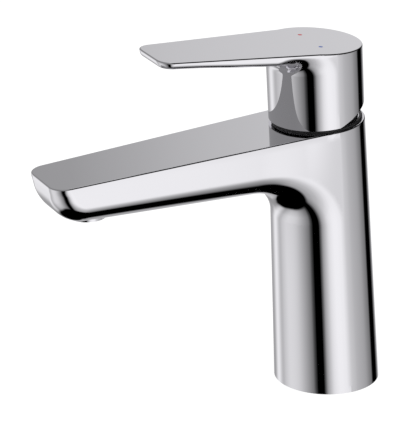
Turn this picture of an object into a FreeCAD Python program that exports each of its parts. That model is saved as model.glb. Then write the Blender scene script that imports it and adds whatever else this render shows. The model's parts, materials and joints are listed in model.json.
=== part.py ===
"""Single-lever basin mixer: a leaning column with a flat-topped spout and a paddle handle.

Millimetres. The origin is the centre of the base on the basin deck, +Z is up and the spout
points along -Y. Column, spout top, cartridge and handle share one axis that leans towards the
spout, so their pieces are drawn upright and then tipped about X by lean_angle. The base, its
threads and the aerator stay square to the deck.
"""
import FreeCAD
import Part
import math
import os
import re

import Sketcher
from FreeCAD import Placement, Rotation, Vector

os.makedirs("parts", exist_ok=True)
doc = FreeCAD.newDocument("basin_mixer")
sheet = doc.addObject("Spreadsheet::Sheet", "Dims")

SIZES = {
    # casting
    "lean_angle": 3.3,
    "base_radius": 25.0,
    "rim_radius": 22.4,
    "deck_height": 131.2,
    "spout_reach": 139.0,
    "spout_tip_flat": 18.0,
    "spout_corner": 8.0,
    "spout_inset": 0.2,
    "spout_draft": 2.0,
    "spout_depth": 27.3,
    "spout_under_round": 10.0,
    "chin_back": 13.0,
    "chin_angle": 28.0,
    "chin_round": 25.0,
    "spout_root_round": 24.0,
    "edge_round": 0.6,
    # inside of the casting
    "column_wall": 2.4,
    "cavity_depth": 39.2,
    "chamber_depth": 18.2,
    "port_side": 6.5,
    "port_back": 3.0,
    "port_front": 8.5,
    "port_radius": 2.6,
    "port_depth": 11.0,
    "channel_radius": 3.2,
    "runner_radius": 4.0,
    "riser_angle": 15.0,
    "inlet_radius": 4.5,
    "inlet_depth": 11.0,
    "stud_radius": 3.4,
    "stud_depth": 12.0,
    "stud_back": 12.0,
    # aerator
    "aerator_reach": 124.0,
    "aerator_radius": 7.8,
    "aerator_flange": 8.7,
    "aerator_show": 1.3,
    "aerator_sink": 1.2,
    "aerator_depth": 7.0,
    "aerator_bore": 6.8,
    "insert_inset": 0.6,
    "jet_radius": 0.7,
    "jet_ring_inner": 2.2,
    "jet_ring_outer": 4.7,
    "washer_thickness": 1.5,
    "washer_width": 3.0,
    # cartridge
    "cartridge_radius": 14.0,
    "seal_radius": 4.2,
    "seal_thickness": 1.2,
    "foot_thickness": 4.0,
    "disc_radius": 10.9,
    "disc_thickness": 3.0,
    "slider_radius": 7.6,
    "slider_thickness": 2.4,
    "mixing_wall": 2.4,
    "carrier_lip": 0.4,
    "carrier_thickness": 3.6,
    "socket_bottom": 0.6,
    "disc_travel": 3.66,
    "shoulder_height": 11.0,
    "upper_radius": 12.6,
    "housing_height": 20.0,
    "crown_thickness": 3.0,
    "rotor_flange": 4.4,
    "neck_radius": 9.0,
    "neck_rise": 9.8,
    "pivot_rise": 5.3,
    "pin_radius": 1.5,
    "pin_half_length": 8.4,
    "pin_round": 0.3,
    "stem_half": 3.0,
    "stem_drop": 5.0,
    "stem_clear": 3.0,
    "slot_half": 7.1,
    "ball_radius": 2.6,
    "shank_radius": 2.0,
    "nut_radius": 16.5,
    "nut_hex": 16.2,
    "nut_rise": 3.8,
    "stop_thickness": 1.6,
    "stop_inset": 0.4,
    "cover_gap": 1.0,
    "cover_wall": 1.2,
    "cover_height": 9.4,
    "cover_foot": 0.3,
    "cover_foot_height": 0.8,
    "cover_seal_height": 1.2,
    "glide_height": 1.2,
    "glide_inset": 0.7,
    # handle
    "hub_inset": 0.1,
    "hub_gap": 1.7,
    "hub_wall": 2.0,
    "hub_roof": 7.9,
    "relief_angle": 20.7,
    "relief_start": 0.5,
    "handle_height": 37.7,
    "lever_rise": 6.8,
    "lever_reach": 83.0,
    "lever_tip_flat": 16.0,
    "lever_corner": 7.0,
    "lever_inset": 0.7,
    "lever_thickness": 3.6,
    "lever_under_round": 1.5,
    "lever_root_round": 5.0,
    "boss_radius": 8.6,
    "boss_drop": 13.0,
    "sleeve_radius": 6.0,
    "screw_drop": 8.5,
    "screw_radius": 2.5,
    "screw_length": 10.0,
    "key_depth": 2.5,
    "plug_depth": 1.6,
    "plug_inset": 0.1,
    "mark_radius": 1.0,
    "mark_side": 10.0,
    "mark_front": 1.8,
    "mark_depth": 0.4,
    # base
    "gasket_inset": 1.4,
    "gasket_width": 2.6,
    "gasket_depth": 1.5,
    # fits
    "running": 0.05,
    "seat": 0.02,
    "play": 0.15,
}
# Heights and radii that follow from the sizes above, so that pieces stay together.
DERIVED = {
    "hub_radius": "rim_radius - hub_inset",
    "cover_radius": "hub_radius - hub_wall - cover_gap",
    "cavity_radius": "rim_radius - column_wall",
    "gasket_outer": "base_radius - gasket_inset",
    "gasket_inner": "gasket_outer - gasket_width",
    "spout_under": "deck_height - spout_depth",
    "cavity_top": "deck_height - cavity_depth",
    "chamber_floor": "deck_height - chamber_depth",
    "disc_floor": "chamber_floor + foot_thickness",
    "slide_floor": "disc_floor + disc_thickness + running",
    "carrier_floor": "slide_floor + slider_thickness",
    "socket_floor": "carrier_floor + socket_bottom",
    "ball_middle": "socket_floor + play + ball_radius",
    "shoulder": "disc_floor + shoulder_height",
    "crown": "disc_floor + housing_height",
    "rotor_top": "crown - crown_thickness - running",
    "pivot": "deck_height + pivot_rise",
    "cover_top": "deck_height + cover_height",
    "hub_low": "deck_height + hub_gap",
    "lever_top": "deck_height + handle_height",
    "hub_ceiling": "lever_top - hub_roof",
    "boss_low": "hub_ceiling - boss_drop",
    "stem_top": "hub_ceiling - stem_clear",
    "screw_level": "hub_ceiling - screw_drop",
}
for row, (alias, size) in enumerate(SIZES.items(), start=1):
    sheet.set(f"A{row}", alias)
    sheet.set(f"B{row}", str(size))
    sheet.setAlias(f"B{row}", alias)
doc.recompute()

FAR = 300.0
OVER = 1.0
QUARTER = math.pi / 2


def formula(text):
    """Derived names are spelled out, and sheet aliases become references to the sheet."""
    def spell(match):
        word = match[0]
        if word in DERIVED:
            return f"({formula(DERIVED[word])})"
        return f"Dims.{word}" if word in SIZES else word

    return re.sub(r"[a-z_]+", spell, str(text))


def bind(obj, **formulas):
    for name, text in formulas.items():
        obj.setExpression(name, formula(text))
    return obj


def put(obj, x=0, y=0, z=0, turn=None):
    """Place an object by formulas, turned about X where a turn is given."""
    if turn is not None:
        obj.Placement = Placement(Vector(0, 0, 0), Rotation(Vector(1, 0, 0), 10))
        obj.setExpression("Placement.Rotation.Angle", formula(turn))
    for axis, text in zip("xyz", (x, y, z)):
        obj.setExpression(f"Placement.Base.{axis}", formula(text))
    return obj


def cylinder(radius, height, x=0, y=0, z=0, turn=None):
    obj = doc.addObject("Part::Cylinder", "Round")
    bind(obj, Radius=radius, Height=height)
    return put(obj, x, y, z, turn)


def cone(low, high, height, z=0):
    obj = doc.addObject("Part::Cone", "Taper")
    bind(obj, Radius1=low, Radius2=high, Height=height)
    return put(obj, z=z)


def block(half_x, half_y, height, y=0, z=0):
    """A block centred on X and on the given Y."""
    obj = doc.addObject("Part::Box", "Block")
    bind(obj, Length=f"2 * ({half_x})", Width=f"2 * ({half_y})", Height=height)
    return put(obj, f"-({half_x})", f"({y}) - ({half_y})", z)


def below(y, z, slope):
    """Everything under a plane through (y, z) that rises towards +Y by the given slope."""
    return cylinder(FAR, FAR, y=y, z=z, turn=f"180 + ({slope})")


def fuse(*shapes):
    obj = doc.addObject("Part::MultiFuse", "Union")
    obj.Shapes = list(shapes)
    obj.Refine = True
    return obj


def cut(base, *tools):
    obj = doc.addObject("Part::Cut", "Cut")
    obj.Base = base
    obj.Tool = tools[0] if len(tools) == 1 else fuse(*tools)
    return obj


def common(*shapes):
    obj = doc.addObject("Part::MultiCommon", "Overlap")
    obj.Shapes = list(shapes)
    return obj


def tube(outer, inner, height, x=0, y=0, z=0):
    """A ring whose hole runs clear of both ends."""
    ring = cylinder(outer, height, x, y, z)
    return cut(ring, cylinder(inner, f"({height}) + 2 * {OVER}", x, y, f"({z}) - {OVER}"))


def round_edges(base, size, wanted):
    """Fillet the edges that a test on (edge, faces) picks."""
    doc.recompute()
    obj = doc.addObject("Part::Fillet", "Soft")
    obj.Base = base
    radius = sheet.get(size)
    picked = []
    for index, edge in enumerate(base.Shape.Edges, start=1):
        if wanted(edge, base.Shape.ancestorsOfType(edge, Part.Face)):
            picked.append((index, radius, radius))
    obj.Edges = picked
    return obj


def facing_down(face):
    return face.Surface.TypeId == "Part::GeomPlane" and face.normalAt(0, 0).z < -0.9


def underside(face):
    """Whether the middle of a face looks mostly down."""
    low_u, high_u, low_v, high_v = face.ParameterRange
    return face.normalAt((low_u + high_u) / 2, (low_v + high_v) / 2).z < -0.5


def facing_up(face):
    return face.Surface.TypeId == "Part::GeomPlane" and face.normalAt(0, 0).z > 0.9


def teardrop(name, around, inset, reach, flat, corner, z=0):
    """Plan outline: an arc just inside a radius, two tangent sides and a blunt tip with round corners."""
    sketch = doc.addObject("Sketcher::SketchObject", name)
    big = sheet.get(around)
    tip = -sheet.get(reach)
    half = sheet.get(flat) / 2
    small = sheet.get(corner)
    right_side = Part.LineSegment(Vector(big, 0, 0), Vector(half + small, tip + small, 0))
    left_side = Part.LineSegment(Vector(-half - small, tip + small, 0), Vector(-big, 0, 0))
    tip_line = Part.LineSegment(Vector(half, tip, 0), Vector(-half, tip, 0))
    circle = Part.Circle(Vector(0, 0, 0), Vector(0, 0, 1), big)
    right_round = Part.Circle(Vector(half, tip + small, 0), Vector(0, 0, 1), small)
    left_round = Part.Circle(Vector(-half, tip + small, 0), Vector(0, 0, 1), small)
    sketch.addGeometry(Part.ArcOfCircle(circle, 0, 2 * QUARTER), False)
    sketch.addGeometry(right_side, False)
    sketch.addGeometry(Part.ArcOfCircle(right_round, -QUARTER, 0), False)
    sketch.addGeometry(tip_line, False)
    sketch.addGeometry(Part.ArcOfCircle(left_round, 2 * QUARTER, 3 * QUARTER), False)
    sketch.addGeometry(left_side, False)
    joins = ((0, 1, 1, 1), (1, 2, 2, 2), (2, 1, 3, 1), (3, 2, 4, 2), (4, 1, 5, 1), (5, 2, 0, 2))
    for first, end, second, start in joins:
        sketch.addConstraint(Sketcher.Constraint("Tangent", first, end, second, start))
    sketch.addConstraint(Sketcher.Constraint("Coincident", 0, 3, -1, 1))
    rules = (
        (Sketcher.Constraint("Radius", 0, big), f"{around} - {inset}"),
        (Sketcher.Constraint("Radius", 2, small), corner),
        (Sketcher.Constraint("Radius", 4, small), corner),
        (Sketcher.Constraint("DistanceX", 3, 2, 3, 1, 2 * half), flat),
        (Sketcher.Constraint("DistanceY", 3, 1, -1, 1, -tip), reach),
    )
    for rule, text in rules:
        number = sketch.addConstraint(rule)
        sketch.setExpression(f"Constraints[{number}]", formula(text))
    sketch.addConstraint(Sketcher.Constraint("Symmetric", 3, 1, 3, 2, -2))
    return put(sketch, z=z)


def extrude(sketch, length, upward, taper=None):
    obj = doc.addObject("Part::Extrusion", "Prism")
    obj.Base = sketch
    obj.DirMode = "Custom"
    obj.Dir = Vector(0, 0, 1 if upward else -1)
    obj.Solid = True
    bind(obj, LengthFwd=length)
    if taper:
        bind(obj, TaperAngle=taper)
    return obj


NODES = []


def lean(obj):
    """Tip an object about X with the column's axis."""
    obj.Placement = Placement(Vector(0, 0, 0), Rotation(Vector(1, 0, 0), 10))
    obj.setExpression("Placement.Rotation.Angle", formula("lean_angle"))
    return obj


def node(obj, label, leaning=True):
    """Name a finished sub-part and tip it where it belongs to the leaning axis."""
    obj.Label = label
    NODES.append(lean(obj) if leaning else obj)


def sideways(radius, half_length, z):
    """A rod across the axis, along X."""
    rod = cylinder(radius, f"2 * ({half_length})")
    rod.Placement = Placement(Vector(0, 0, 0), Rotation(Vector(0, 1, 0), 90))
    return put(rod, x=f"-({half_length})", z=z)


def casting():
    """Column, spout and their blend, bored for the cartridge and the water way."""
    taper = "(base_radius - rim_radius) / deck_height"
    sunk = "base_radius * sin(lean_angle) * 2"
    column = cone(f"base_radius + {sunk} * {taper}", "rim_radius", f"deck_height + {sunk}", f"-{sunk}")
    outline = teardrop("SpoutPlan", "rim_radius", "spout_inset", "spout_reach", "spout_tip_flat",
                       "spout_corner", "deck_height")
    spout = extrude(outline, "spout_depth + spout_root_round", False, "-spout_draft")
    spout = cut(spout, below("spout_under * sin(lean_angle)", "spout_under * cos(lean_angle)", "-lean_angle"))
    chin = "(spout_reach - chin_back)"
    spout = cut(spout, below(f"-{chin}", f"(spout_under + {chin} * sin(lean_angle)) / cos(lean_angle)",
                             "-chin_angle - lean_angle"))
    spout = round_edges(spout, "chin_round", lambda edge, faces: all(map(underside, faces)))
    spout = round_edges(spout, "spout_under_round",
                        lambda edge, faces: len(list(filter(underside, faces))) == 1)
    body = fuse(column, spout)
    deck = sheet.get("deck_height")
    width = 2 * sheet.get("base_radius")

    def at_root(edge, faces):
        on_column = [face for face in faces
                     if face.BoundBox.ZLength > deck / 2 and face.BoundBox.YLength < 1.5 * width]
        middle = edge.CenterOfMass
        return len(on_column) == 1 and -width < middle.y < 0 and deck / 2 < middle.z < deck - 0.1

    body = round_edges(body, "spout_root_round", at_root)
    body = round_edges(body, "edge_round", lambda edge, faces: any(map(facing_up, faces)))

    chamber = cylinder("cartridge_radius + running", FAR, z="chamber_floor")
    nut_bore = cylinder("nut_radius + seat", FAR, z="shoulder - 2 * seal_thickness")
    hollow = cylinder("cavity_radius", "cavity_top + base_radius", z="-base_radius")
    ports = [cylinder("port_radius", f"port_depth + {OVER}", x, y, "chamber_floor - port_depth")
             for x, y in PORTS]
    run = "(aerator_reach / 2 - port_front)"
    duct = "(chamber_floor - port_depth + channel_radius)"
    riser = cylinder("channel_radius", f"{run} / cos(riser_angle)", y="-port_front", z=duct,
                     turn="90 - riser_angle")
    runner = cylinder("runner_radius", "aerator_reach / 2", y="-aerator_reach / 2 + channel_radius / 2",
                      z=f"{duct} + {run} * tan(riser_angle)", turn="90")
    upright = lean(cut(body, chamber, nut_bore, hollow, riser, runner, *ports))

    floor = cylinder(FAR, FAR, turn="180")
    shift = "cavity_top * sin(lean_angle)"
    entry = "column_wall"
    inlets = [cylinder("inlet_radius", f"inlet_depth + {entry}", side, f"port_back - {shift}",
                       f"cavity_top - {entry}") for side in ("port_side", "-port_side")]
    stud = cylinder("stud_radius", f"stud_depth + {entry}", 0, f"stud_back - {shift}", f"cavity_top - {entry}")
    mouth = cylinder("aerator_flange + seat", "aerator_sink + aerator_depth", 0, "-aerator_reach",
                     "spout_under - aerator_depth")
    outlet = cylinder("aerator_radius + seat", "aerator_depth + washer_thickness", 0, "-aerator_reach",
                      "spout_under")
    throat = cylinder("aerator_radius - washer_width", "aerator_depth + washer_thickness + runner_radius", 0,
                      "-aerator_reach", "spout_under")
    groove = tube("gasket_outer + seat", "gasket_inner - seat", f"gasket_depth + {OVER}", z=-OVER)
    node(cut(upright, floor, *inlets, stud, mouth, outlet, throat, groove), "faucet_body", leaning=False)


def base_pieces():
    node(tube("gasket_outer", "gasket_inner", "gasket_depth"), "base_gasket", leaning=False)


def aerator():
    """Threaded collar, flow insert and washer, square to the deck under the spout tip."""
    y = "-aerator_reach"
    low = "spout_under - aerator_show"
    height = "aerator_show + aerator_depth"
    flange = cylinder("aerator_flange", "aerator_show + aerator_sink - seat", 0, y, low)
    thread = cylinder("aerator_radius", height, 0, y, low)
    bore = cylinder("aerator_bore", f"{height} + 2 * {OVER}", 0, y, f"{low} - {OVER}")
    node(cut(fuse(flange, thread), bore), "aerator_collar", leaning=False)

    plate = cylinder("aerator_bore - seat", f"{height} - insert_inset", 0, y, f"{low} + insert_inset")
    jets = []
    for count, ring in ((6, "jet_ring_inner"), (12, "jet_ring_outer")):
        for index in range(count):
            turn = 360 / count * index
            jets.append(cylinder("jet_radius", FAR, f"{ring} * cos({turn})", f"{y} + {ring} * sin({turn})",
                                 f"{low} - {OVER}"))
    node(cut(plate, *jets), "aerator_insert", leaning=False)
    node(tube("aerator_radius - seat", "aerator_radius - washer_width", "washer_thickness", 0, y,
              "spout_under + aerator_depth"), "aerator_washer", leaning=False)


PORTS = (("port_side", "port_back"), ("-port_side", "port_back"), ("0", "-port_front"))


def cartridge():
    """Ceramic-disc cartridge, from the seals on the chamber floor to the stop ring."""
    def ports(z):
        return [cylinder("port_radius", FAR, x, y, f"{z} - {OVER}") for x, y in PORTS]

    seals = [cylinder("seal_radius", "seal_thickness", x, y, "chamber_floor") for x, y in PORTS]
    node(cut(fuse(*seals), *ports("chamber_floor")), "port_seals")

    foot = cylinder("cartridge_radius", "foot_thickness", z="chamber_floor")
    pockets = [cylinder("seal_radius + seat", f"seal_thickness + {OVER}", x, y, f"chamber_floor - {OVER}")
               for x, y in PORTS]
    node(cut(foot, *pockets, *ports("chamber_floor")), "cartridge_base")

    node(cut(cylinder("disc_radius", "disc_thickness", z="disc_floor"), *ports("disc_floor")), "fixed_disc")

    start = "disc_travel / 2"
    slider = cylinder("slider_radius", "slider_thickness", y=start, z="slide_floor")
    mixing = cylinder("slider_radius - mixing_wall", f"slider_thickness / 2 + {OVER}", y=start,
                      z=f"slide_floor - {OVER}")
    node(cut(slider, mixing), "moving_disc")

    carrier = cylinder("slider_radius + carrier_lip", "carrier_thickness", y=start, z="carrier_floor")
    socket = block("ball_radius + play", "ball_radius + play", FAR, z="socket_floor")
    node(cut(carrier, socket), "disc_carrier")

    lower = cylinder("cartridge_radius", "shoulder_height", z="disc_floor")
    upper = cylinder("upper_radius", "housing_height", z="disc_floor")
    bore = cylinder("disc_radius + running", f"housing_height - crown_thickness + {OVER}",
                    z=f"disc_floor - {OVER}")
    mouth = cylinder("neck_radius + running", FAR, z="disc_floor")
    node(cut(fuse(lower, upper), bore, mouth), "cartridge_housing")

    node(tube("upper_radius - stop_inset", "neck_radius + stop_inset", "stop_thickness", z="crown"),
         "temperature_stop_ring")

    flange = cylinder("disc_radius", "rotor_flange", z="rotor_top - rotor_flange")
    neck = cylinder("neck_radius", f"deck_height + neck_rise - rotor_top + {OVER}", z=f"rotor_top - {OVER}")
    slot = block("stem_half + running", "slot_half", FAR, z="chamber_floor")
    pin_hole = sideways("pin_radius + seat", "disc_radius", "pivot")
    node(cut(fuse(flange, neck), slot, pin_hole), "cartridge_rotor")

    pin = sideways("pin_radius", "pin_half_length", "pivot")
    node(round_edges(pin, "pin_round", lambda edge, faces: edge.Curve.TypeId == "Part::GeomCircle"),
         "stem_pivot_pin")

    ball = doc.addObject("Part::Sphere", "Ball")
    bind(ball, Radius="ball_radius")
    put(ball, z="ball_middle")
    shank = cylinder("shank_radius", "pivot - ball_middle", z="ball_middle")
    bar = block("stem_half", "stem_half", "stem_top - pivot + stem_drop", z="pivot - stem_drop")
    stem_hole = sideways("pin_radius + running", "disc_radius", "pivot")
    node(cut(fuse(ball, shank, bar), stem_hole), "cartridge_stem")


def retainers():
    """Nut that clamps the cartridge, its seal, the bright cover over both and the dark ring under the hub."""
    thread = cylinder("nut_radius", "deck_height - shoulder", z="shoulder")
    hexagon = doc.addObject("Part::Prism", "Hexagon")
    bind(hexagon, Circumradius="nut_hex", Height="deck_height + nut_rise - shoulder")
    put(hexagon, z="shoulder")
    node(cut(fuse(thread, hexagon), cylinder("upper_radius + seat", FAR, z="chamber_floor")), "retaining_nut")

    node(tube("cover_radius - cover_wall - seat", "nut_radius + play", "cover_seal_height", z="deck_height"),
         "cover_seal")

    outside = cylinder("cover_radius", "cover_height", z="deck_height")
    foot = cylinder("cover_radius + cover_foot", "cover_foot_height", z="deck_height")
    inside = cylinder("cover_radius - cover_wall", f"cover_height - cover_wall + {OVER}",
                      z=f"deck_height - {OVER}")
    mouth = cylinder("neck_radius + cover_wall", FAR, z="deck_height")
    middle = sheet.get("deck_height") + sheet.get("cover_height") / 2
    shell = round_edges(fuse(outside, foot), "edge_round",
                        lambda edge, faces: any(map(facing_up, faces)) and edge.CenterOfMass.z > middle)
    node(cut(shell, inside, mouth), "cover_ring")

    node(tube("hub_radius - glide_inset", "cover_radius + cover_foot + seat", "glide_height", z="deck_height"),
         "glide_ring")


def handle():
    """Hub, paddle and the fixings that hold them on the stem."""
    under_top = below(0, "lever_top", "-lever_rise")
    slab = cylinder(FAR, "lever_thickness", z="lever_top", turn="180 - lever_rise")
    hub = common(cylinder("hub_radius", FAR, z="hub_low"), under_top)
    outline = teardrop("LeverPlan", "rim_radius", "(hub_inset + lever_inset)", "lever_reach", "lever_tip_flat",
                       "lever_corner")
    paddle = common(extrude(outline, FAR, True), slab)
    paddle = round_edges(paddle, "lever_under_round", lambda edge, faces: any(map(facing_down, faces)))
    grip = fuse(hub, paddle)
    tall = sheet.get("handle_height") / 2
    ceiling = sheet.get("deck_height") + sheet.get("handle_height") - sheet.get("hub_roof")

    def at_root(edge, faces):
        if any(map(facing_up, faces)) or edge.CenterOfMass.y > -2 or edge.CenterOfMass.z < ceiling:
            return False
        on_hub = [face for face in faces
                  if face.Surface.TypeId == "Part::GeomCylinder" and face.BoundBox.ZLength > tall]
        return len(faces) > 1 and len(on_hub) > 0

    grip = round_edges(grip, "lever_root_round", at_root)
    grip = round_edges(grip, "edge_round", lambda edge, faces: any(map(facing_up, faces)))

    relief = below("relief_start", "hub_low", "relief_angle")
    hollow = cylinder("hub_radius - hub_wall", "hub_ceiling - deck_height", z="deck_height")
    boss = cylinder("boss_radius", f"boss_drop + {OVER}", z="boss_low")
    rib_reach = "(hub_radius - hub_wall / 2) / 2"
    rib = block("boss_radius / 2", rib_reach, f"boss_drop + {OVER}", y=rib_reach, z="boss_low")
    room = cut(hollow, boss, rib)
    sleeve_bore = cylinder("sleeve_radius + seat", f"stem_top - boss_low + {OVER}", z=f"boss_low - {OVER}")
    screw_bore = cylinder("screw_radius", FAR, z="screw_level", turn="-90")

    def mark(radius, side):
        return cylinder(radius, "mark_depth", side, "-mark_front * cos(lever_rise)",
                        "lever_top + mark_front * sin(lever_rise)", "180 - lever_rise")

    recesses = [mark("mark_radius + seat", side) for side in ("mark_side", "-mark_side")]
    node(cut(grip, relief, room, sleeve_bore, screw_bore, *recesses), "lever_handle")
    node(common(mark("mark_radius", "-mark_side"), under_top), "hot_mark")
    node(common(mark("mark_radius", "mark_side"), under_top), "cold_mark")

    sleeve = cylinder("sleeve_radius", "stem_top - boss_low", z="boss_low")
    square = block("stem_half + seat", "stem_half + seat", FAR, z=f"boss_low - {OVER}")
    entry = cylinder("screw_radius + play", FAR, z="screw_level", turn="-90")
    node(cut(sleeve, square, entry), "stem_sleeve")

    screw = cylinder("screw_radius - seat", "screw_length", y="stem_half + seat", z="screw_level", turn="-90")
    socket = doc.addObject("Part::Prism", "Key")
    bind(socket, Circumradius="screw_radius / 2", Height=f"key_depth + {OVER}")
    put(socket, y="stem_half + screw_length - key_depth", z="screw_level", turn="-90")
    node(cut(screw, socket), "handle_grub_screw")

    plug = cylinder("screw_radius - seat", FAR, y="hub_radius - plug_depth", z="screw_level", turn="-90")
    node(common(plug, cylinder("hub_radius - plug_inset", FAR, z="hub_low")), "grub_screw_plug")


casting()
base_pieces()
aerator()
cartridge()
retainers()
handle()
doc.recompute()

for obj in doc.Objects:
    if "Invalid" in obj.State or "Error" in obj.State:
        raise RuntimeError(f"{obj.Label} did not build: {obj.getStatusString()}")
for obj in NODES:
    if obj.Shape.isNull() or not obj.Shape.isValid():
        raise RuntimeError(f"{obj.Label} has no valid shape")
    obj.Shape.exportStep(f"parts/{obj.Label}.step")
print(len(NODES), "pieces exported")
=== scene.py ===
"""Studio picture of the single-lever basin mixer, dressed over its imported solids."""
import json
import math

import bmesh
import bpy
import numpy as np
from mathutils import Matrix, Vector


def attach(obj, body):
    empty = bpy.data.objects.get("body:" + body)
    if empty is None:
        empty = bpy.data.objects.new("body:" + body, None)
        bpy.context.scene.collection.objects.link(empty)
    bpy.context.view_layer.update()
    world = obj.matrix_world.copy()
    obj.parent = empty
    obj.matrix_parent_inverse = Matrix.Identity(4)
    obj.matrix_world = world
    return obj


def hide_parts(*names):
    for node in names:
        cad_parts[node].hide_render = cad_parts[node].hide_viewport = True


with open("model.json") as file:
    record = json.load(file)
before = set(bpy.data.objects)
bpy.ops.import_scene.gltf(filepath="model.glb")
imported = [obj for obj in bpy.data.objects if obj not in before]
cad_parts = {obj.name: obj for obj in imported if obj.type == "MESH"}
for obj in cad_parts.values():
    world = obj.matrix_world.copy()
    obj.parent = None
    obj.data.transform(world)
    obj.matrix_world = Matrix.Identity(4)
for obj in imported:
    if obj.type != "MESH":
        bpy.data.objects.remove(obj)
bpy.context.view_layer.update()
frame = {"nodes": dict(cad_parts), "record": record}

MM = 0.001

# Photograph: frame in pixels, camera, the point that lies in the middle of the picture, and the nearest
# and farthest that the camera sees, in metres.
FRAME_LONG_SIDE = 426
SENSOR = 36.0
AZIMUTH = math.radians(63.8)
ELEVATION = math.radians(21.4)
DISTANCE = 1.3
PIXELS_PER_MM = 2.079
MIDDLE_RIGHT = -60.2 * MM
MIDDLE_UP = 76.6 * MM
NEAREST = 0.01
FARTHEST = 50

# Light on what isn't metal: the grey of the surroundings, and a lamp overhead in metres and watts.
SOFT_GREY = 0.6
LAMP_PLACE = (0.2, -0.2, 1.4)
LAMP_SIZE = 0.8
LAMP_POWER = 6

# Floor: its size in metres, its glow and its grey as the camera sees it, and its grey for the other rays.
FLOOR_SIZE = 6
FLOOR_GLOW = 0.9
FLOOR_GREY = 0.25
FLOOR_BOUNCE = 0.8

# The shell that carries the light cards: its radius in metres, its divisions and the tint of its light.
CARD_DISTANCE = 2.0
CARD_SEGMENTS = 96
CARD_RINGS = 48
CARD_TINT = (0.985, 0.980, 1.0)
# Azimuths, counted from ahead of the spout, and elevations run from minus to plus these degrees.
MOST_AZIMUTH = 180
MOST_ELEVATION = 90
# Light cards around the object, as the chrome shows them: azimuth and how much white comes through.
SIDE_CARDS = (
    (-180, 0.20), (-176, 0.03), (-172, 0.0), (-156, 0.0), (-148, 0.20), (-140, 0.45), (-128, 0.95),
    (-118, 0.75), (-104, 0.44), (-84, 0.46), (-74, 0.74), (-64, 0.84), (-50, 0.52), (-38, 0.60),
    (-20, 0.72), (8, 0.56), (36, 0.18), (45, 0.0), (59, 0.0), (66, 0.32), (78, 0.76), (92, 1.0),
    (104, 0.98), (111, 0.92), (120, 0.70), (134, 0.54), (162, 0.38), (180, 0.20),
)
# The same for the cards above eye level, and the elevations over which they take over.
UPPER_CARDS = (
    (-180, 0.02), (-145, 0.02), (-128, 0.58), (-121, 0.62), (-115, 0.56), (-111, 0.47), (-107, 0.34),
    (-90, 0.26), (0, 0.22), (70, 0.22), (90, 0.02), (180, 0.02),
)
EYE_LEVEL = (-5, 20)
# How the side cards fade with height: elevation and the share of light that is left.
SIDE_FADE = (
    (-90, 0.0), (-64, 0.0), (-59, 0.30), (-50, 0.44), (-42, 0.54), (-34, 0.70), (-28, 0.84), (-24, 0.90),
    (-18, 0.92), (90, 0.92),
)
# The fade with a sharper lower edge that the front cards have instead, and by azimuth how far it holds.
FRONT_FADE = (
    (-90, 0.0), (-63, 0.0), (-58, 0.60), (-44, 0.92), (-32, 1.0), (-24, 1.0), (-18, 0.85), (90, 0.85),
)
FRONT_CARDS = ((-180, 0.0), (-118, 0.0), (-108, 1.0), (38, 1.0), (90, 0.0), (180, 0.0))
# How far that fade is lifted: the most in degrees, and the share of it by azimuth.
MOST_LIFT = 20
FRONT_LIFT = ((-180, 0.0), (-114, 0.0), (-102, 1.0), (-80, 0.75), (-50, 0.25), (-20, 0.0), (180, 0.0))

# How many octaves the noise in a finish has.
NOISE_DETAIL = 3

# Casting in millimetres, upright: column and spout as in the part, with the softer rounds of the photo.
LEAN = math.radians(3.3)
DECK = 131.2
RIM_RADIUS = 22.4
FOOT_RADIUS = 25.0
COLUMN_TAPER = math.atan((FOOT_RADIUS - RIM_RADIUS) / DECK)
SPOUT_HALF = 22.22
SPOUT_NARROWS = 0.0398
SPOUT_DRAFT = math.tan(math.radians(2))
SPOUT_REACH = 139.0
SPOUT_UNDER = 103.4
# The round along the spout's lower edges, near the deck and lower down, and the drop over which it grows.
SPOUT_CORNER = 8.0
UNDER_ROUND = 13.0
CORNER_GROWS = (0.0, 20.0)
# The spout's tip: how far its face leans back for each millimetre down, and the round under it.
TIP_RAKE = 0.1
TIP_ROUND = 14.0
# The bend from column to spout, and the length over which the column's wall becomes the spout's side.
ROOT_ROUND = 19.0
SIDE_RUN = 18.0
# The heights above the foot and the depths under the deck over which the smooth casting comes in.
BLEND_FOOT = (2, 4)
BLEND_TOP = (1.2, 4)

# The lever's paddle in millimetres: its top, its rise, its thickness at the tip and its plan.
HANDLE_HEIGHT = 37.7
LEVER_TOP = DECK + HANDLE_HEIGHT
LEVER_RISE = math.radians(6.8)
LEVER_THICK = 3.6
LEVER_ROUND = 21.6
LEVER_TAPER = math.radians(5.0)
LEVER_REACH = 83.0
LEVER_HALF = 8.0
LEVER_CORNER = 7.0
# The round of its lower edge as packed and as rolled, and how far ahead of the axis the roll comes in.
PACKED_ROLL = 1.5
LEVER_ROLL = 2.7
ROLL_SLACK = 0.05
ROLL_STARTS = (18.0, 24.0)
# The lever's hub: its radius, the paddle's thickness there, the bend between them, the length over which
# its wall becomes the paddle's side, and the radius within which the hollow is left as packed.
HUB_RADIUS = 22.3
HUB_THICK = 5.2
HUB_ROOT = 8.0
HUB_SIDE_RUN = 10.0
HUB_HOLLOW = 21.7
# Where the smooth handle goes out, behind and ahead of the axis, and comes in, under the top and above
# the deck.
HUB_BLEND_BACK = (6.0, 12.0)
HUB_BLEND_AHEAD = (45.0, 75.0)
HUB_BLEND_TOP = (0.6, 1.8)
HUB_BLEND_FOOT = (6.0, 10.0)

# Drawing a node's skin onto its smooth form, in millimetres: edges longer than this are split first.
LONGEST_EDGE = {"faucet_body": 2.0, "lever_handle": 1.5}
# Points deeper in the form than this are in a hollow, and stay.
DEEPEST = 6.0
# Faces that look out of the form, with a cosine above this, are its skin.
SKIN_FACES = 0.2
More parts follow.
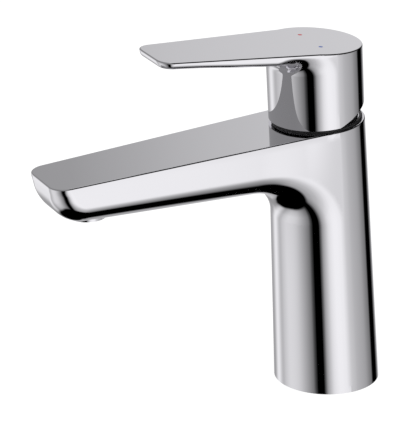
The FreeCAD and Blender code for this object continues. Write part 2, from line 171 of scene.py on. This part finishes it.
# Faces that lie across it, such as a ledge, with a cosine above this, are too where they are no deeper
# than the next.
LEDGE_FACES = -0.5
LEDGE = {"faucet_body": 0.0, "lever_handle": 1.6}
# Decimals of a metre to which corners of one point agree, the step that finds a form's slope, and how
# many times a point is drawn nearer.
SAME_PLACE = 8
SLOPE_STEP = 0.02 * MM
DRAW_STEPS = 6

# Bright pieces whose seams are closed, with the body that carries each, how near the seams' points are,
# and the angle that stays an edge.
POLISHED = {"cover_ring": "body", "aerator_collar": "body"}
WELD = 0.001 * MM
EDGE_ANGLE = math.radians(50)

# Glide ring: profile in millimetres, as radius and height above the deck.
GLIDE_RING = ((19.65, 0.0), (21.1, 0.0), (21.1, 0.75), (20.95, 1.05), (20.65, 1.2), (19.65, 1.2))
ROUND_STEPS = 96


def grey(level):
    """An opaque grey."""
    return (level, level, level, 1)


def math_node(tree, operation, *inputs):
    """The output of a new math node whose inputs are numbers or other nodes' outputs."""
    node = tree.nodes.new("ShaderNodeMath")
    node.operation = operation
    for socket, value in zip(node.inputs, inputs):
        if isinstance(value, (int, float)):
            socket.default_value = value
        else:
            tree.links.new(value, socket)
    return node.outputs[0]


def grey_ramp(tree, place, stops, limit):
    """A grey level by stops in degrees, from -limit to limit, at a place from 0 to 1."""
    node = tree.nodes.new("ShaderNodeValToRGB")
    ramp = node.color_ramp
    ramp.interpolation = "CARDINAL"
    ramp.elements.remove(ramp.elements[1])
    for index, (degrees, level) in enumerate(stops):
        position = 0.5 + degrees / (2 * limit)
        stop = ramp.elements.new(position) if index else ramp.elements[0]
        stop.position = position
        stop.color = grey(level)
    tree.links.new(place, node.inputs[0])
    return math_node(tree, "MINIMUM", math_node(tree, "MAXIMUM", node.outputs[0], 0), 1)


def white_surroundings():
    """White for the camera and in the metal, and a plain grey light on everything else."""
    world = bpy.data.worlds.new("surroundings")
    world.use_nodes = True
    bpy.context.scene.world = world
    tree = world.node_tree
    tree.nodes.clear()
    soft = tree.nodes.new("ShaderNodeBackground")
    soft.inputs["Color"].default_value = grey(SOFT_GREY)
    white = tree.nodes.new("ShaderNodeBackground")
    white.inputs["Color"].default_value = grey(1)
    rays = tree.nodes.new("ShaderNodeLightPath").outputs
    seen = math_node(tree, "MAXIMUM", rays["Is Camera Ray"], rays["Is Glossy Ray"])
    seen = math_node(tree, "MAXIMUM", seen, rays["Is Transmission Ray"])
    pick = tree.nodes.new("ShaderNodeMixShader")
    tree.links.new(seen, pick.inputs[0])
    tree.links.new(soft.outputs[0], pick.inputs[1])
    tree.links.new(white.outputs[0], pick.inputs[2])
    tree.links.new(pick.outputs[0], tree.nodes.new("ShaderNodeOutputWorld").inputs[0])


def light_cards():
    """A shell of grey scrims and dark flags that only the metal sees, in front of the white."""
    bpy.ops.mesh.primitive_uv_sphere_add(
        segments=CARD_SEGMENTS, ring_count=CARD_RINGS, radius=CARD_DISTANCE)
    obj = bpy.context.object
    obj.name = "light_cards"
    obj.visible_camera = False
    obj.visible_diffuse = False
    obj.visible_transmission = False
    obj.visible_shadow = False
    material = bpy.data.materials.new("scrim")
    material.use_nodes = True
    tree = material.node_tree
    tree.nodes.clear()
    unit = tree.nodes.new("ShaderNodeVectorMath")
    unit.operation = "NORMALIZE"
    tree.links.new(tree.nodes.new("ShaderNodeTexCoord").outputs["Object"], unit.inputs[0])
    split = tree.nodes.new("ShaderNodeSeparateXYZ")
    tree.links.new(unit.outputs[0], split.inputs[0])
    x, y, z = split.outputs
    azimuth = math_node(tree, "ARCTAN2", x, math_node(tree, "MULTIPLY", y, -1))
    around = math_node(tree, "MULTIPLY_ADD", azimuth, 0.5 / math.pi, 0.5)
    height = math_node(tree, "MULTIPLY_ADD", math_node(tree, "ARCSINE", z), 1 / math.pi, 0.5)

    side = grey_ramp(tree, around, SIDE_CARDS, MOST_AZIMUTH)
    # Of a mix of plain numbers, input 0 is the factor, and 2 and 3 are the numbers.
    fade = tree.nodes.new("ShaderNodeMix")
    tree.links.new(grey_ramp(tree, around, FRONT_CARDS, MOST_AZIMUTH), fade.inputs[0])
    tree.links.new(grey_ramp(tree, height, SIDE_FADE, MOST_ELEVATION), fade.inputs[2])
    lift = grey_ramp(tree, around, FRONT_LIFT, MOST_AZIMUTH)
    lowered = math_node(tree, "MULTIPLY_ADD", lift, -MOST_LIFT / (2 * MOST_ELEVATION), height)
    tree.links.new(grey_ramp(tree, lowered, FRONT_FADE, MOST_ELEVATION), fade.inputs[3])
    upper = grey_ramp(tree, around, UPPER_CARDS, MOST_AZIMUTH)
    level = tree.nodes.new("ShaderNodeMapRange")
    level.interpolation_type = "SMOOTHSTEP"
    for name, degrees in zip(("From Min", "From Max"), EYE_LEVEL):
        level.inputs[name].default_value = degrees / (2 * MOST_ELEVATION) + 0.5
    tree.links.new(height, level.inputs["Value"])
    low = math_node(tree, "MULTIPLY", math_node(tree, "MULTIPLY", side, fade.outputs[0]),
                    math_node(tree, "SUBTRACT", 1, level.outputs[0]))
    both = math_node(tree, "MULTIPLY_ADD", upper, level.outputs[0], low)
    tint = tree.nodes.new("ShaderNodeVectorMath")
    tint.operation = "SCALE"
    tint.inputs[0].default_value = CARD_TINT
    tree.links.new(both, tint.inputs["Scale"])
    scrim = tree.nodes.new("ShaderNodeBsdfTransparent")
    tree.links.new(tint.outputs[0], scrim.inputs["Color"])
    tree.links.new(scrim.outputs[0], tree.nodes.new("ShaderNodeOutputMaterial").inputs[0])
    obj.data.materials.append(material)


def camera():
    """The photograph's camera, from its direction and the point in the middle of the picture."""
    right = Vector((math.cos(AZIMUTH), math.sin(AZIMUTH), 0))
    back = Vector((math.sin(AZIMUTH) * math.cos(ELEVATION), -math.cos(AZIMUTH) * math.cos(ELEVATION),
                   math.sin(ELEVATION)))
    up = back.cross(right)
    data = bpy.data.cameras.new("camera")
    data.sensor_width = SENSOR
    data.lens = PIXELS_PER_MM / MM * DISTANCE * SENSOR / FRAME_LONG_SIDE
    data.clip_start = NEAREST
    data.clip_end = FARTHEST
    obj = bpy.data.objects.new("camera", data)
    turn = Matrix((right, up, back)).transposed().to_4x4()
    place = right * MIDDLE_RIGHT + up * MIDDLE_UP + back * DISTANCE
    obj.matrix_world = Matrix.Translation(place) @ turn
    bpy.context.collection.objects.link(obj)
    bpy.context.scene.camera = obj


def floor():
    """A pale floor that reads as white paper and keeps a faint shadow."""
    bpy.ops.mesh.primitive_plane_add(size=FLOOR_SIZE, location=(0, 0, 0))
    obj = bpy.context.object
    obj.name = "floor"
    obj.visible_glossy = False
    material = bpy.data.materials.new("paper")
    material.use_nodes = True
    tree = material.node_tree
    tree.nodes.clear()
    glow = tree.nodes.new("ShaderNodeEmission")
    glow.inputs["Strength"].default_value = FLOOR_GLOW
    matt = tree.nodes.new("ShaderNodeBsdfDiffuse")
    matt.inputs["Color"].default_value = grey(FLOOR_GREY)
    both = tree.nodes.new("ShaderNodeAddShader")
    tree.links.new(glow.outputs[0], both.inputs[0])
    tree.links.new(matt.outputs[0], both.inputs[1])
    pale = tree.nodes.new("ShaderNodeBsdfDiffuse")
    pale.inputs["Color"].default_value = grey(FLOOR_BOUNCE)
    pick = tree.nodes.new("ShaderNodeMixShader")
    tree.links.new(tree.nodes.new("ShaderNodeLightPath").outputs["Is Camera Ray"], pick.inputs[0])
    tree.links.new(pale.outputs[0], pick.inputs[1])
    tree.links.new(both.outputs[0], pick.inputs[2])
    tree.links.new(pick.outputs[0], tree.nodes.new("ShaderNodeOutputMaterial").inputs[0])
    obj.data.materials.append(material)


def overhead_light():
    """A lamp above the object that the metal doesn't show."""
    lamp = bpy.data.lights.new("overhead", "AREA")
    lamp.shape = "DISK"
    lamp.size = LAMP_SIZE
    lamp.energy = LAMP_POWER
    obj = bpy.data.objects.new("overhead", lamp)
    obj.location = LAMP_PLACE
    obj.visible_glossy = False
    bpy.context.collection.objects.link(obj)


def surface(name, colour, metallic, roughness, spread, grain, bump, bump_distance):
    """A finish whose roughness and fine relief come from noise of the given grain in millimetres."""
    material = bpy.data.materials.new(name)
    material.use_nodes = True
    tree = material.node_tree
    shader = tree.nodes["Principled BSDF"]
    shader.inputs["Base Color"].default_value = (*colour, 1)
    shader.inputs["Metallic"].default_value = metallic
    place = tree.nodes.new("ShaderNodeTexCoord").outputs["Object"]
    noise = tree.nodes.new("ShaderNodeTexNoise")
    noise.inputs["Scale"].default_value = 1 / (grain * MM)
    noise.inputs["Detail"].default_value = NOISE_DETAIL
    tree.links.new(place, noise.inputs["Vector"])
    rough = tree.nodes.new("ShaderNodeMapRange")
    rough.inputs["To Min"].default_value = roughness - spread
    rough.inputs["To Max"].default_value = roughness + spread
    tree.links.new(noise.outputs[0], rough.inputs["Value"])
    tree.links.new(rough.outputs[0], shader.inputs["Roughness"])
    if bump:
        relief = tree.nodes.new("ShaderNodeBump")
        relief.inputs["Strength"].default_value = bump
        relief.inputs["Distance"].default_value = bump_distance * MM
        tree.links.new(noise.outputs[0], relief.inputs["Height"])
        tree.links.new(relief.outputs[0], shader.inputs["Normal"])
    return material


def finishes():
    """The finish of each material slot in the record."""
    return {
        "chrome": surface("chrome", (0.95, 0.945, 0.965), 1, 0.03, 0.012, 9, 0, 0),
        "brass": surface("turned_brass", (0.72, 0.52, 0.24), 1, 0.28, 0.08, 1.2, 0.15, 0.02),
        "steel": surface("plain_steel", (0.56, 0.56, 0.58), 1, 0.32, 0.08, 0.8, 0.15, 0.02),
        "white_plastic": surface("acetal", (0.80, 0.80, 0.77), 0, 0.45, 0.06, 0.7, 0.12, 0.02),
        "grey_plastic": surface("filled_plastic", (0.30, 0.31, 0.33), 0, 0.5, 0.08, 0.5, 0.2, 0.02),
        "black_plastic": surface("black_acetal", (0.02, 0.02, 0.022), 0, 0.4, 0.06, 0.6, 0.15, 0.02),
        "rubber": surface("black_rubber", (0.025, 0.025, 0.026), 0, 0.62, 0.1, 0.4, 0.3, 0.03),
        "ceramic": surface("alumina", (0.83, 0.82, 0.78), 0, 0.22, 0.05, 0.5, 0.05, 0.01),
        "hot_red": surface("red_filler", (0.55, 0.02, 0.03), 0, 0.3, 0.05, 0.3, 0.05, 0.01),
        "cold_blue": surface("blue_filler", (0.02, 0.09, 0.42), 0, 0.3, 0.05, 0.3, 0.05, 0.01),
    }


def dress_nodes(looks):
    """Give each node the finish of its material slot."""
    for entry in frame["record"]["subparts"]:
        obj = frame["nodes"][entry["node"]]
        obj.data.materials.clear()
        obj.data.materials.append(looks[entry["material_slot"]])


def ease(value, start, end):
    """0 before start, 1 after end, smooth between them."""
    share = np.clip((value - start) / (end - start), 0, 1)
    return share * share * (3 - 2 * share)


def rounded(first, second, radius):
    """Distance from the overlap of two shapes, given that from each, with their edge rounded."""
    first = first + radius
    second = second + radius
    past = np.hypot(np.maximum(first, 0), np.maximum(second, 0))
    return past + np.minimum(np.maximum(first, second), 0) - radius


def upright(points):
    """Points in metres, in the column's own upright frame in millimetres."""
    x, y, z = points.T / MM
    return x, y * math.cos(LEAN) + z * math.sin(LEAN), z * math.cos(LEAN) - y * math.sin(LEAN)


def slope(distance, points):
    """Direction in which points leave a shape fastest, given how the distance from it is found."""
    sides = [distance(points + shift) - distance(points - shift) for shift in np.eye(3) * SLOPE_STEP]
    return np.array(sides).T / (2 * SLOPE_STEP / MM)


def bend(along, rise, start, end):
    """Distance from the middle of a bend with straight ends, and the share of the bend that is turned."""
    low = rise * math.cos(start) - along * math.sin(start) < 0
    front = along * math.sin(end) - rise * math.cos(end) < 0
    away = np.where(low, along * math.cos(start) + rise * math.sin(start), np.hypot(along, rise))
    away = np.where(front & ~low, along * math.cos(end) + rise * math.sin(end), away)
    turned = np.where(low, 0, np.where(front, 1, ease(np.arctan2(rise, along), start, end)))
    return away, turned


def root_middle():
    """The point in the (y, z) plane that the bend under the spout goes round."""
    column = np.array((-math.cos(COLUMN_TAPER), math.sin(COLUMN_TAPER)))
    under = np.array((-math.sin(LEAN), -math.cos(LEAN)))
    rim = np.array((-RIM_RADIUS, DECK))
    reach = (column @ rim + ROOT_ROUND, ROOT_ROUND - SPOUT_UNDER)
    return np.linalg.solve(np.array((column, under)), reach)


def casting_outside(points):
    """How far points lie outside the casting: a column that bends smoothly into the spout."""
    x, y, z = upright(points)
    x = np.abs(x)
    drop = DECK - z
    radius = RIM_RADIUS + drop * math.tan(COLUMN_TAPER)
    along, rise = np.array((y, z)) - root_middle()[:, None]
    away, turned = bend(along, rise, -COLUMN_TAPER, math.pi / 2 - LEAN)
    side = SPOUT_HALF + SPOUT_NARROWS * y + SPOUT_DRAFT * drop
    wall = radius + (side - radius) * ease(-y, 0, SIDE_RUN) * turned
    ahead = TIP_RAKE * drop - y - SPOUT_REACH
    under = ROOT_ROUND - away
    soft = SPOUT_CORNER + (UNDER_ROUND - SPOUT_CORNER) * ease(drop, *CORNER_GROWS)
    bent = rounded(x - wall, rounded(ahead, under, TIP_ROUND), wall + (soft - wall) * turned)
    return np.where(y < 0, bent, np.hypot(x, y) - radius)


def casting_share(points):
    """1 where the smooth casting holds, 0 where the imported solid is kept."""
    height = upright(points)[2]
    return ease(height, *BLEND_FOOT) * ease(DECK - height, *BLEND_TOP)


def paddle_side(points):
    """How far points lie outside the paddle's plan."""
    x, y, _ = upright(points)
    x = np.abs(x)
    side = x * math.cos(LEVER_TAPER) - y * math.sin(LEVER_TAPER) - LEVER_ROUND
    out = x - LEVER_HALF
    ahead = -y - LEVER_REACH + LEVER_CORNER
    corner = np.hypot(out, ahead) - LEVER_CORNER
    in_corner = (out > 0) & (ahead * math.cos(LEVER_TAPER) > out * math.sin(LEVER_TAPER))
    return np.where(in_corner, corner, np.maximum(side, ahead - LEVER_CORNER))


def paddle_under(points):
    """How far points lie under the paddle."""
    _, y, z = upright(points)
    return (LEVER_TOP - z) * math.cos(LEVER_RISE) - y * math.sin(LEVER_RISE) - LEVER_THICK


def roll_lever(points):
    """Widen the small round along the paddle's lower edge into a full roll."""
    side = paddle_side(points)
    under = paddle_under(points)
    share = ease(-upright(points)[1], *ROLL_STARTS)
    share[np.minimum(side, under) < -PACKED_ROLL - ROLL_SLACK] = 0
    shift = side[:, None] * slope(paddle_side, points) + under[:, None] * slope(paddle_under, points)
    return points + shift * share[:, None] * (LEVER_ROLL / PACKED_ROLL - 1) * MM


def handle_outside(points):
    """How far points lie outside the handle: a hub that bends smoothly into the paddle."""
    x, y, z = upright(points)
    x = np.abs(x)
    hub_under = LEVER_TOP + (HUB_RADIUS * math.sin(LEVER_RISE) - HUB_THICK) / math.cos(LEVER_RISE)
    tip_under = LEVER_TOP + (LEVER_REACH * math.sin(LEVER_RISE) - LEVER_THICK) / math.cos(LEVER_RISE)
    rise_under = math.atan2(tip_under - hub_under, LEVER_REACH - HUB_RADIUS)
    along = y + HUB_RADIUS + HUB_ROOT
    rise = z - hub_under + HUB_ROOT * (1 - math.sin(rise_under)) / math.cos(rise_under)
    away, turned = bend(along, rise, 0, math.pi / 2 - rise_under)
    half = (LEVER_ROUND + y * math.sin(LEVER_TAPER)) / math.cos(LEVER_TAPER)
    wall = HUB_RADIUS + (half - HUB_RADIUS) * ease(-y, 0, HUB_SIDE_RUN) * turned
    bent = rounded(x - wall, HUB_ROOT - away, LEVER_ROLL + (wall - LEVER_ROLL) * (1 - turned))
    return np.where(y < 0, bent, np.hypot(x, y) - HUB_RADIUS)


def handle_share(points):
    """1 where the smooth handle holds, 0 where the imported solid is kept."""
    x, y, z = upright(points)
    share = np.hypot(x, y) > HUB_HOLLOW
    share = share * (1 - ease(y, *HUB_BLEND_BACK)) * (1 - ease(-y, *HUB_BLEND_AHEAD))
    share = share * ease(paddle_under(points) + LEVER_THICK, *HUB_BLEND_TOP)
    return share * ease(z - DECK, *HUB_BLEND_FOOT)


def triangles_of(node):
    """The places and the normals of a node's triangles, corner by corner."""
    solid = frame["nodes"][node].data
    solid.calc_loop_triangles()
    places = np.empty(len(solid.vertices) * 3)
    solid.vertices.foreach_get("co", places)
    facing = np.empty(len(solid.loops) * 3)
    solid.corner_normals.foreach_get("vector", facing)
    triangles = np.empty(len(solid.loop_triangles) * 3, dtype=np.int32)
    solid.loop_triangles.foreach_get("vertices", triangles)
    loops = np.empty(len(solid.loop_triangles) * 3, dtype=np.int32)
    solid.loop_triangles.foreach_get("loops", loops)
    corners = places.reshape(-1, 3)[triangles].reshape(-1, 3, 3)
    normals = facing.reshape(-1, 3)[loops].reshape(-1, 3, 3)
    return corners, normals


def split_long_edges(corners, normals, blend, longest):
    """Halve the triangles' long edges in the blend until none is left."""
    while True:
        ends = np.roll(corners, -1, axis=1)
        length = np.linalg.norm(corners - ends, axis=2) / MM
        middles = (corners + ends) / 2
        shared = blend(middles.reshape(-1, 3)).reshape(length.shape)
        length[(length < longest) | (shared == 0)] = 0
        split = length.max(axis=1) > 0
        if not split.any():
            return corners, normals
        pick = length[split].argmax(axis=1)
        order = (pick[:, None] + np.arange(3)) % 3
        parts = []
        for values in (corners, normals):
            a, b, c = np.moveaxis(np.take_along_axis(values[split], order[:, :, None], axis=1), 1, 0)
            middle = (a + b) / 2
            halves = np.stack((a, middle, c), 1), np.stack((middle, b, c), 1)
            parts.append(np.concatenate((values[~split], *halves)))
        corners, normals = parts


def drawn(points, distance):
    """Points drawn onto a smooth form, given how the distance from it is found."""
    for _ in range(DRAW_STEPS):
        climb = slope(distance, points)
        points = points - climb * (distance(points) / np.sum(climb * climb, axis=1))[:, None] * MM
    return points


def smoothed(node, name, body, distance, blend, look, roll=None):
    """A copy of a node whose skin is rolled, and drawn onto a smooth form as far as the blend says."""
    corners, normals = triangles_of(node)
    if roll:
        corners = roll(corners.reshape(-1, 3)).reshape(-1, 3, 3)
    corners, normals = split_long_edges(corners, normals, blend, LONGEST_EDGE[node])
    corners = corners.reshape(-1, 3)
    normals = normals.reshape(-1, 3)
    places = np.round(corners, SAME_PLACE)
    _, first, member = np.unique(places, axis=0, return_index=True, return_inverse=True)
    member = member.ravel()
    points = corners[first]
    outside = distance(points)
    share = blend(points)
    share[outside < -DEEPEST] = 0
    outward = np.sum(slope(distance, points)[member] * normals, axis=1)
    skin = (outward > SKIN_FACES) | ((outward > LEDGE_FACES) & (outside[member] > -LEDGE[node]))
    on_skin = np.zeros(len(points))
    on_skin[member[skin]] = 1
    share *= on_skin
    near = share > 0
    moved = drawn(points[near], distance)
    facing_out = np.zeros_like(points)
    facing_out[near] = slope(distance, moved)
    points[near] += (moved - points[near]) * share[near, None]
    normals = normals + (facing_out[member] - normals) * (share[member] * skin)[:, None]

    mesh = bpy.data.meshes.new(name)
    mesh.from_pydata(points.tolist(), [], member.reshape(-1, 3).tolist())
    mesh.polygons.foreach_set("use_smooth", [True] * len(mesh.polygons))
    mesh.normals_split_custom_set((normals / np.linalg.norm(normals, axis=1)[:, None]).tolist())
    mesh.materials.append(look)
    obj = bpy.data.objects.new(name, mesh)
    bpy.context.collection.objects.link(obj)
    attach(obj, body)
    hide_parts(node)


def polished(node, body, look):
    """A copy of a node, welded across the solid's seams so that its polish runs on without a break."""
    mesh = frame["nodes"][node].data.copy()
    form = bmesh.new()
    form.from_mesh(mesh)
    bmesh.ops.remove_doubles(form, verts=form.verts, dist=WELD)
    for face in form.faces:
        face.smooth = True
    for edge in form.edges:
        edge.smooth = edge.calc_face_angle(math.pi) < EDGE_ANGLE
    form.to_mesh(mesh)
    form.free()
    if mesh.has_custom_normals:
        mesh.attributes.remove(mesh.attributes["custom_normal"])
    mesh.materials.clear()
    mesh.materials.append(look)
    obj = bpy.data.objects.new(f"{node}_polished", mesh)
    bpy.context.collection.objects.link(obj)
    weights = obj.modifiers.new("weights", "WEIGHTED_NORMAL")
    weights.keep_sharp = True
    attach(obj, body)
    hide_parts(node)


def glide_ring(look):
    """The dark ring in the gap under the hub, slimmer than its solid so that the deck's rim shows."""
    form = bmesh.new()
    rings = []
    for step in range(ROUND_STEPS):
        angle = 2 * math.pi * step / ROUND_STEPS
        rings.append([
            form.verts.new((radius * math.cos(angle) * MM, radius * math.sin(angle) * MM, height * MM))
            for radius, height in GLIDE_RING
        ])
    for ring, following in zip(rings, rings[1:] + rings[:1]):
        for corner in range(len(GLIDE_RING)):
            beyond = (corner + 1) % len(GLIDE_RING)
            form.faces.new((ring[corner], following[corner], following[beyond], ring[beyond]))
    mesh = bpy.data.meshes.new("glide_ring_slim")
    form.to_mesh(mesh)
    form.free()
    mesh.transform(Matrix.Rotation(LEAN, 4, "X") @ Matrix.Translation((0, 0, DECK * MM)))
    mesh.shade_smooth()
    mesh.set_sharp_from_angle(angle=EDGE_ANGLE)
    mesh.materials.append(look)
    obj = bpy.data.objects.new("glide_ring_slim", mesh)
    bpy.context.collection.objects.link(obj)
    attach(obj, "body")
    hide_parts("glide_ring")


white_surroundings()
light_cards()
camera()
floor()
overhead_light()
LOOKS = finishes()
dress_nodes(LOOKS)
smoothed("faucet_body", "casting", "body", casting_outside, casting_share, LOOKS["chrome"])
smoothed("lever_handle", "lever_handle_polished", "handle", handle_outside, handle_share, LOOKS["chrome"],
         roll=roll_lever)
for NODE, BODY in POLISHED.items():
    polished(NODE, BODY, LOOKS["chrome"])
glide_ring(LOOKS["black_plastic"])

bpy.context.scene.view_settings.view_transform = "Standard"
